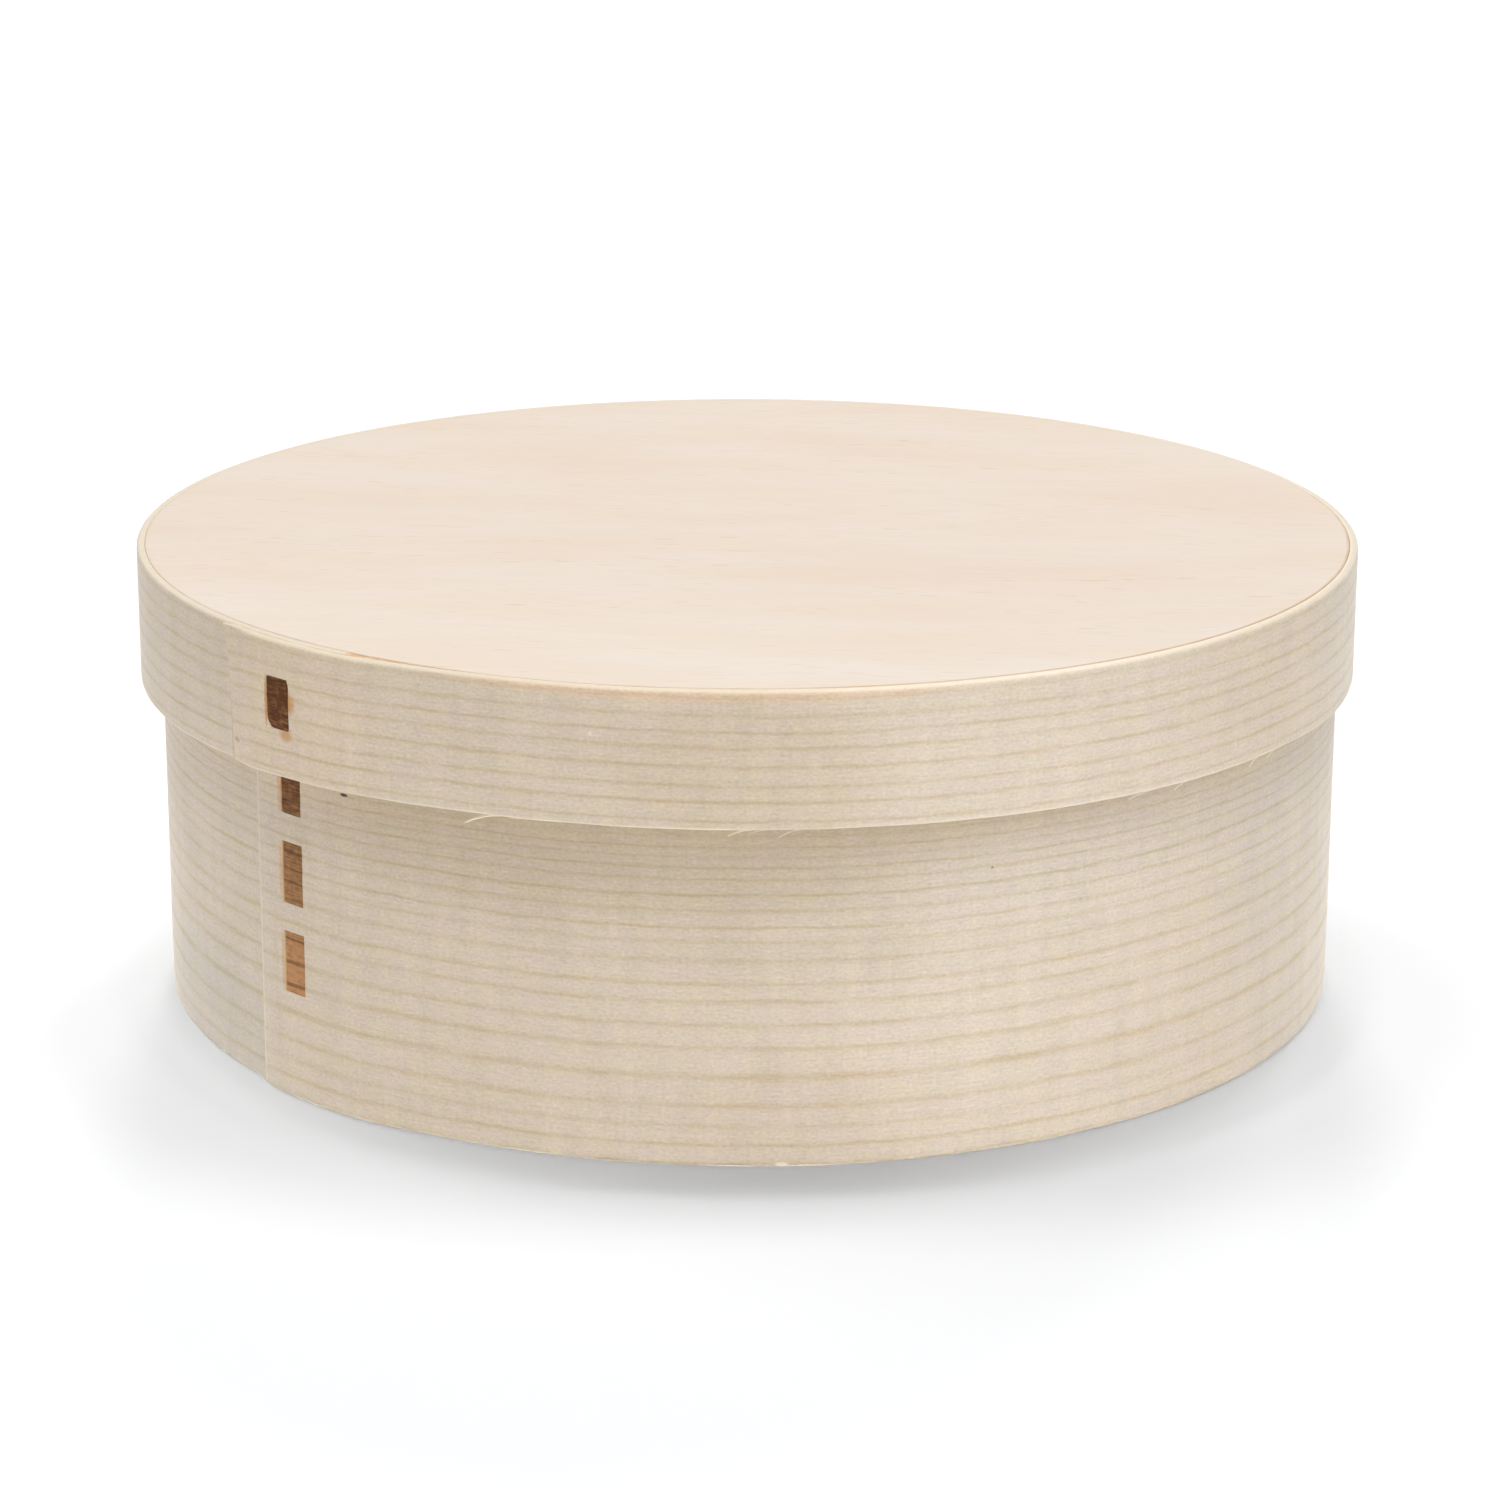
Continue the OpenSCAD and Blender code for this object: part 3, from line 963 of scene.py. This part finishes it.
camera = bpy.data.objects.new("camera", bpy.data.cameras.new("camera"))
camera.data.lens = CAMERA_LENS
camera.data.sensor_width = 36
camera.data.clip_start = 0.01
camera.matrix_world = (
    Matrix.Translation(CAMERA_AT)
    @ Matrix.Rotation(math.pi / 2 - CAMERA_PITCH, 4, "X")
    @ Matrix.Rotation(CAMERA_ROLL, 4, "Z")
)
bpy.context.scene.collection.objects.link(camera)
bpy.context.scene.camera = camera


# Stage and light


def seen_rays(tree):
    """1 for rays that show the background: from the camera, in a gloss or through glass."""
    path = tree.nodes.new("ShaderNodeLightPath")
    total = path.outputs["Is Camera Ray"]
    for name in ("Is Glossy Ray", "Is Transmission Ray"):
        either = tree.nodes.new("ShaderNodeMath")
        either.operation = "MAXIMUM"
        tree.links.new(total, either.inputs[0])
        tree.links.new(path.outputs[name], either.inputs[1])
        total = either.outputs[0]
    return total


FLOOR_SIZE = 12.0
FLOOR_WHITE = 0.4
FLOOR_LIFT = 0.327
FLOOR_COOL = (0.972, 1.0, 1.043, 1.0)
FLOOR_BOUNCE = 0.15
SKY = 0.16
GLOW_DEPTH = 20 * MM

floor_mesh = bpy.data.meshes.new("floor")
half_floor = FLOOR_SIZE / 2
floor_mesh.from_pydata(
    [(x * half_floor, y * half_floor, -0.02 * MM) for x, y in ((-1, -1), (1, -1), (1, 1), (-1, 1))],
    [], [(0, 1, 2, 3)],
)
floor = bpy.data.objects.new("floor", floor_mesh)
bpy.context.scene.collection.objects.link(floor)

white = bpy.data.materials.new("white floor")
white.use_nodes = True
tree = white.node_tree
tree.nodes.clear()
seen = seen_rays(tree)
tint = tree.nodes.new("ShaderNodeMapRange")
tint.inputs["To Min"].default_value = FLOOR_BOUNCE
tint.inputs["To Max"].default_value = FLOOR_WHITE
tree.links.new(seen, tint.inputs["Value"])
paper = tree.nodes.new("ShaderNodeBsdfDiffuse")
tree.links.new(tint.outputs[0], paper.inputs["Color"])
glow = tree.nodes.new("ShaderNodeEmission")
glow.inputs["Color"].default_value = FLOOR_COOL
lift = tree.nodes.new("ShaderNodeMath")
lift.operation = "MULTIPLY"
lift.inputs[1].default_value = FLOOR_LIFT
tree.links.new(seen, lift.inputs[0])
tree.links.new(lift.outputs[0], glow.inputs["Strength"])
both = tree.nodes.new("ShaderNodeAddShader")
tree.links.new(paper.outputs[0], both.inputs[0])
tree.links.new(glow.outputs[0], both.inputs[1])
tree.links.new(both.outputs[0], tree.nodes.new("ShaderNodeOutputMaterial").inputs[0])
floor_mesh.materials.append(white)

world = bpy.data.worlds.new("studio")
world.use_nodes = True
bpy.context.scene.world = world
tree = world.node_tree
sky = tree.nodes["Background"]
level = tree.nodes.new("ShaderNodeMapRange")
level.inputs["To Min"].default_value = SKY
level.inputs["To Max"].default_value = 1.0
tree.links.new(seen_rays(tree), level.inputs["Value"])
tree.links.new(level.outputs[0], sky.inputs["Strength"])
sky.inputs["Color"].default_value = (1, 1, 1, 1)


def towards(azimuth, elevation):
    """Direction of a lamp, in degrees from the front to the right and up from the floor."""
    az, el = math.radians(azimuth), math.radians(elevation)
    return Vector((math.sin(az) * math.cos(el), -math.cos(az) * math.cos(el), math.sin(el)))


def hang(lamp, azimuth, elevation, distance=1.0):
    """Puts a lamp in the scene, facing the box."""
    away = towards(azimuth, elevation)
    obj = bpy.data.objects.new(lamp.name, lamp)
    obj.location = Vector((0, 0, 0.03)) + distance * away
    obj.rotation_euler = (-away).to_track_quat("-Z", "Y").to_euler()
    bpy.context.scene.collection.objects.link(obj)
    return obj


def shine_only_on(lamp, things, through_floor=False):
    """Limits a lamp to some objects. Through the floor, only those objects cast shadows in its light."""
    group = bpy.data.collections.new(lamp.name + " receivers")
    for thing in things:
        group.objects.link(thing)
    lamp.light_linking.receiver_collection = group
    if through_floor:
        lamp.light_linking.blocker_collection = group


def sun(name, azimuth, elevation, spread, level, receivers):
    """Soft lamp far away. At level 1 a white sheet that faces it renders white."""
    lamp = bpy.data.lights.new(name, "SUN")
    lamp.energy = level * math.pi
    lamp.angle = math.radians(spread)
    shine_only_on(hang(lamp, azimuth, elevation), receivers)


def table_glow(name, radius, level, receivers):
    """Disc under the floor that lights the box from below, as a bright table does."""
    lamp = bpy.data.lights.new(name, "AREA")
    lamp.shape = "DISK"
    lamp.size = 2 * radius
    lamp.energy = level * (math.pi * radius) ** 2
    lamp.cycles.use_multiple_importance_sampling = False
    disc = hang(lamp, 0, -90)
    disc.location = (0, 0, -GLOW_DEPTH)
    shine_only_on(disc, receivers, through_floor=True)


def sheen(name, azimuth, elevation, size, level):
    """Rectangular lamp near the box that shows only in the gloss of its surfaces."""
    lamp = bpy.data.lights.new(name, "AREA")
    lamp.shape = "RECTANGLE"
    lamp.size, lamp.size_y = size
    lamp.energy = level * math.pi * size[0] * size[1]
    hang(lamp, azimuth, elevation, 0.8).visible_diffuse = False


pieces = [body_hoop, bottom_board, body_lace, bottom_bead]
pieces += [lid_hoop, lid_board, lid_lace, lid_bead, lid_fibres]
sun("floor high right light", 150, 83, 4, 0.12, [floor])
sun("floor high left light", -150, 83, 4, 0.19, [floor])
sun("floor right light", 125, 68, 20, 0.535, [floor])
sun("floor left light", -125, 68, 20, 0.35, [floor])
sun("floor wide left light", -120, 45, 40, 0.5, [floor])
sun("floor low right light", 160, 30, 12, 0.36, [floor])
sun("floor low back light", 180, 30, 12, 0.655, [floor])
sun("top light", 20, 78, 40, 0.78, pieces)
sun("front fill", 18, 14, 60, 0.17, pieces)
table_glow("table glow", 0.24, 1.08, pieces)
sheen("side sheen", 58, 40, (0.9, 0.6), 9)

bpy.context.scene.view_settings.view_transform = "Standard"
